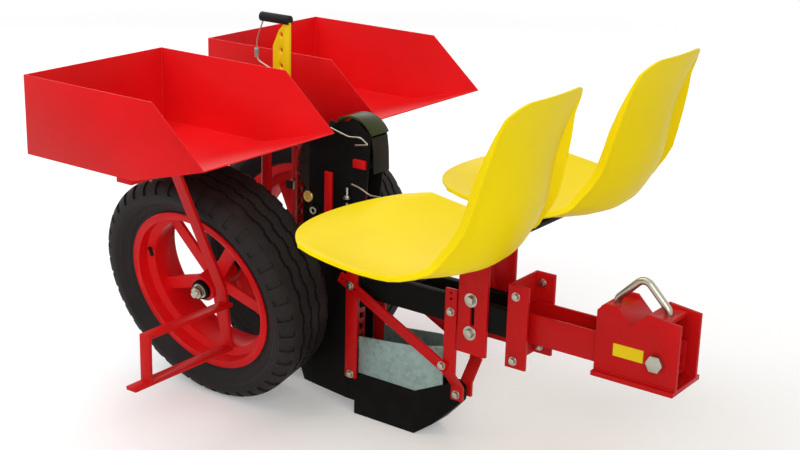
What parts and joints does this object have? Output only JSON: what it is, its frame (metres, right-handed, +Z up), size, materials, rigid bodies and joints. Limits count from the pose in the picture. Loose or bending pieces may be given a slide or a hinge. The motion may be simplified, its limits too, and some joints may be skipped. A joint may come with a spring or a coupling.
{
  "type": "two-seat bare root transplanter",
  "caption": "Toolbar-mounted bare root transplanter with bucket seats, plant trays, a planting chain over a furrow shoe and cambered press wheels.",
  "frame": {"origin": "ground level at the middle of the overall box", "axes": "+X forward to the toolbar clamp, +Y to the machine's left, +Z up"},
  "size_m": [1.412, 1.1536, 0.9005],
  "materials": {
    "red_paint": "gloss enamel",
    "black_paint": "semi-gloss enamel",
    "yellow_shell": "moulded gloss",
    "yellow_paint": "gloss enamel",
    "green_paint": "satin enamel",
    "black_rubber": "matt",
    "tyre": "satin rubber",
    "chain_steel": "worn red paint",
    "galvanised_sheet": "galvanised",
    "bright_steel": "zinc plated"
  },
  "bodies": {
    "frame": {"axle_left": "black_paint", "axle_right": "black_paint", "bottom_sprocket": "bright_steel", "chain_cover": "black_paint", "foot_rest_left": "red_paint", "foot_rest_right": "red_paint", "frame_rail_left": "black_paint", "frame_rail_right": "black_paint", "hitch_bracket": "red_paint", "holder_pads": "bright_steel", "holder_pockets": "black_rubber", "lever": "yellow_paint", "lever_bracket": "black_paint", "lever_grip": "black_rubber", "lift_rod": "bright_steel", "planter_plate_left": "black_paint", "planter_plate_right": "black_paint", "planting_chain": "chain_steel", "plate_stay_left": "red_paint", "plate_stay_right": "red_paint", "rail_spacers": "black_paint", "seat_crossbar": "black_paint", "seat_left": "yellow_shell", "seat_post_left": "red_paint", "seat_post_right": "red_paint", "seat_right": "yellow_shell", "shoe": "black_paint", "shoe_brace_left": "red_paint", "shoe_brace_right": "red_paint", "shoe_hanger_left": "red_paint", "shoe_hanger_right": "red_paint", "shoe_shield_left": "galvanised_sheet", "shoe_shield_right": "galvanised_sheet", "shoe_strap_left": "red_paint", "shoe_strap_right": "red_paint", "tongue": "red_paint", "top_guard": "green_paint", "top_sprocket": "bright_steel", "tray_crossbar": "red_paint", "tray_left": "red_paint", "tray_right": "red_paint", "tray_upright_left": "red_paint", "tray_upright_right": "red_paint"},
    "wheel_right": {"tyre_right": "tyre", "rim_right": "red_paint"},
    "wheel_left": {"tyre_left": "tyre", "rim_left": "red_paint"},
    "toolbar_clamp": {"toolbar_clamp": "red_paint", "u_bolt": "bright_steel", "pivot_bolt": "bright_steel"}
  },
  "joints": [
    {"name": "wheel_right_spin", "type": "hinge", "parent": "frame", "child": "wheel_right", "pos_m": [-0.421, -0.16501, 0.28957], "axis": [0, -0.9732, -0.23], "continuous": true},
    {"name": "wheel_left_spin", "type": "hinge", "parent": "frame", "child": "wheel_left", "pos_m": [-0.421, 0.16501, 0.28957], "axis": [0, 0.9732, -0.23], "continuous": true},
    {"name": "hitch_float", "type": "hinge", "parent": "frame", "child": "toolbar_clamp", "pos_m": [0.66, 0, 0.334], "axis": [0, -1, 0], "range_deg": [0, 12]}
  ]
}
